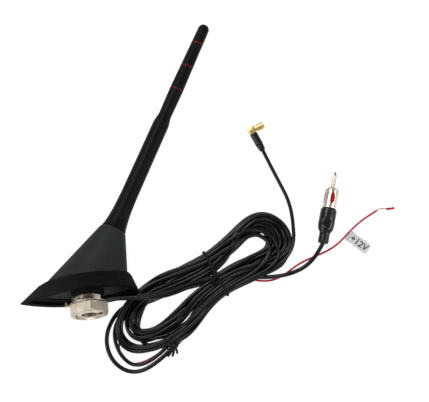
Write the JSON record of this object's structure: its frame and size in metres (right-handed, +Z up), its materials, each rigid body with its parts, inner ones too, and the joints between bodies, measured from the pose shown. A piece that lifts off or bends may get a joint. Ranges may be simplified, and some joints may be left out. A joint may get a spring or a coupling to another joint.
{
  "type": "car roof antenna",
  "caption": "Short rubber mast on a raked housing with a teardrop gasket and a hollow threaded stud, with claw washer, nut and a tied hank of coax cable ending in two plugs.",
  "frame": {"origin": "bottom centre of the antenna's own box, as it lies on its side on a flat surface", "axes": "+Z up from the surface, +Y from the mounting nut towards the mast's tip, +X towards the hank of cable"},
  "size_m": [0.2545, 0.2505, 0.0472],
  "materials": {
    "skirt_rubber": "moulded rubber, slightly lighter flared outer wall",
    "housing_plastic": "charcoal plastic with a fine even spark texture",
    "cast_alloy": "die-cast, painted matt black",
    "zinc_plated": "nickel plating, satin, warm",
    "black_plastic": "moulded black",
    "black_rubber": "smooth black",
    "bright_steel": "zinc plated",
    "blackened_steel": "black oxide",
    "brass_parts": "turned",
    "circuit_board": "green solder mask",
    "tin_plate": "bright tin",
    "copper_wire": "enamelled copper",
    "mast_rubber": "over-moulded rubber, matt",
    "red_ring": "thin red inlay",
    "glass_fibre": "pale fibre rod",
    "cable_jacket": "smooth PVC with a soft sheen",
    "red_wire": "thin PVC insulation",
    "tinned_copper": "twisted strands",
    "tie_plastic": "black coated wire",
    "gold_plate": "light gold plating, polished",
    "white_insulator": "white PTFE",
    "boot_plastic": "black moulding with soft highlights",
    "nickel_plate": "warm nickel",
    "red_insulator": "red moulded insulator",
    "label_film": null
  },
  "bodies": {
    "root": {"rubber_skirt": "skirt_rubber", "housing": "housing_plastic", "chassis_plate": "cast_alloy", "threaded_stud": "zinc_plated", "locating_collar": "black_plastic", "cable_grommet": "black_rubber", "housing_screws": "blackened_steel", "board_spacers": "brass_parts", "amplifier_board": "circuit_board", "shield_can": "tin_plate", "board_parts": "black_plastic", "board_screws": "bright_steel", "feed_wire": "copper_wire", "mast_socket": "brass_parts", "fm_lead_in": "cable_jacket", "dab_lead_in": "cable_jacket", "fm_loose_loop": "cable_jacket", "dab_loose_loop": "cable_jacket", "power_loose_loop": "red_wire", "dab_lead_out": "cable_jacket", "fm_lead_out": "cable_jacket", "power_wire": "red_wire", "bare_strands": "tinned_copper", "insulation_slug": "red_wire", "cable_hank": "cable_jacket", "middle_tie": "tie_plastic", "lower_tie": "tie_plastic", "smb_elbow": "gold_plate", "smb_barrel": "gold_plate", "smb_insulator": "white_insulator", "smb_contact": "gold_plate", "smb_boot": "boot_plastic", "din_boot": "boot_plastic", "din_shell": "nickel_plate", "din_insulator": "red_insulator", "din_pin": "nickel_plate", "power_flag": "label_film"},
    "claw_washer": {"claw_washer": "zinc_plated"},
    "nut": {"hex_nut": "zinc_plated"},
    "mast_seal": {"mast_seal_ring": "black_rubber"},
    "mast": {"mast_sheath": "mast_rubber", "mast_rings": "red_ring", "mast_ferrule": "brass_parts", "mast_core": "glass_fibre", "mast_winding": "copper_wire"}
  },
  "joints": [
    {"name": "washer_slide", "type": "slide", "parent": "root", "child": "claw_washer", "axis": [0.1212, -0.9875, 0.1011], "range_m": [0, 0.006]},
    {"name": "nut_turn", "type": "hinge", "parent": "claw_washer", "child": "nut", "pos_m": [-0.01641, -0.10278, 0.02457], "axis": [0.1212, -0.9875, 0.1011], "range_deg": [0, 1440]},
    {"name": "seal_slide", "type": "slide", "parent": "root", "child": "mast_seal", "axis": [0.3696, 0.9249, -0.0887], "range_m": [0, 0.008]},
    {"name": "mast_turn", "type": "hinge", "parent": "mast_seal", "child": "mast", "pos_m": [-0.00218, -0.04755, 0.01918], "axis": [0.3696, 0.9249, -0.0887], "range_deg": [0, 3600]}
  ],
  "couplings": [
    {"joint": "washer_slide", "follows": "nut_turn", "m_per_rad": 0.00023873},
    {"joint": "mast_turn", "follows": "seal_slide", "rad_per_m": 7854}
  ]
}
